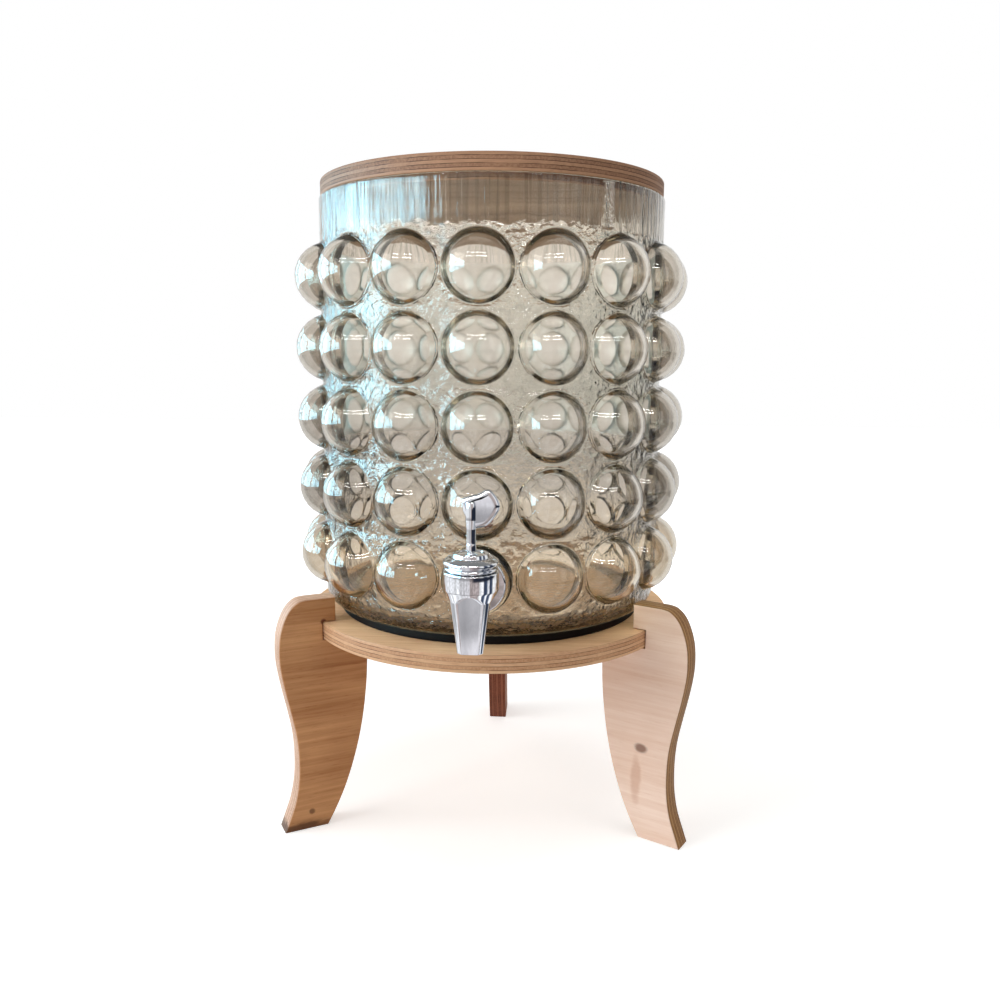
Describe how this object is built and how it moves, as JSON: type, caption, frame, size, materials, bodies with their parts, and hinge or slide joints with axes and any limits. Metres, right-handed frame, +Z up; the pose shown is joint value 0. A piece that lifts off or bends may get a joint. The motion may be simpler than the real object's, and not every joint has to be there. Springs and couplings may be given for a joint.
{
  "type": "glass water dispenser",
  "caption": "Round bubble-glass jar with a flat plywood lid and a chrome quarter-turn tap at its foot, standing on a round plywood board with curved radial legs.",
  "frame": {"origin": "on the floor plane, under the middle of the object's box; the jar's axis is 6.1 mm behind it because the tap reaches further forward than the back leg reaches back", "axes": "+Z up; the tap and its spout face -Y; +X to the right seen from the tap"},
  "size_m": [0.2386, 0.2806, 0.3716],
  "materials": {
    "glass": "clear pressed glass with a pale straw and olive tint, polished",
    "lid_wood": "stained birch plywood, dark brown edge with one ochre ply",
    "board_wood": "birch plywood under thin clear varnish, fine ply lines on the edge",
    "leg_wood": "birch plywood under thin clear varnish, grain across the leg",
    "pad_rubber": "matt black foam rubber",
    "seal_rubber": "black moulded rubber",
    "chrome": "bright chrome plate",
    "plug_brass": "turned brass",
    "nut_steel": "turned steel",
    "pin_steel": "plain steel wire"
  },
  "bodies": {
    "stand": {"stand_board": "board_wood", "leg_left": "leg_wood", "leg_right": "leg_wood", "leg_back": "leg_wood", "leg_pin_left": "pin_steel", "leg_pin_right": "pin_steel", "leg_pin_back": "pin_steel", "jar_pad": "pad_rubber"},
    "jar": {"glass_jar": "glass", "tap_body": "chrome", "tap_bonnet": "chrome", "outer_washer": "seal_rubber", "inner_washer": "seal_rubber", "shank_nut": "nut_steel"},
    "lid": {"lid_board": "lid_wood", "lid_plug": "lid_wood"},
    "tap_valve": {"tap_plug": "plug_brass", "tap_key": "chrome", "key_pin": "chrome", "o_ring_upper": "seal_rubber", "o_ring_lower": "seal_rubber"}
  },
  "joints": [
    {"name": "jar_lift", "type": "slide", "parent": "stand", "child": "jar", "axis": [0, 0, 1], "range_m": [0, 0.04]},
    {"name": "lid_lift", "type": "slide", "parent": "jar", "child": "lid", "axis": [0, 0, 1], "range_m": [0, 0.1]},
    {"name": "tap_turn", "type": "hinge", "parent": "jar", "child": "tap_valve", "pos_m": [0, -0.12681, 0.161], "axis": [0, 0, -1], "range_deg": [0, 90]}
  ]
}
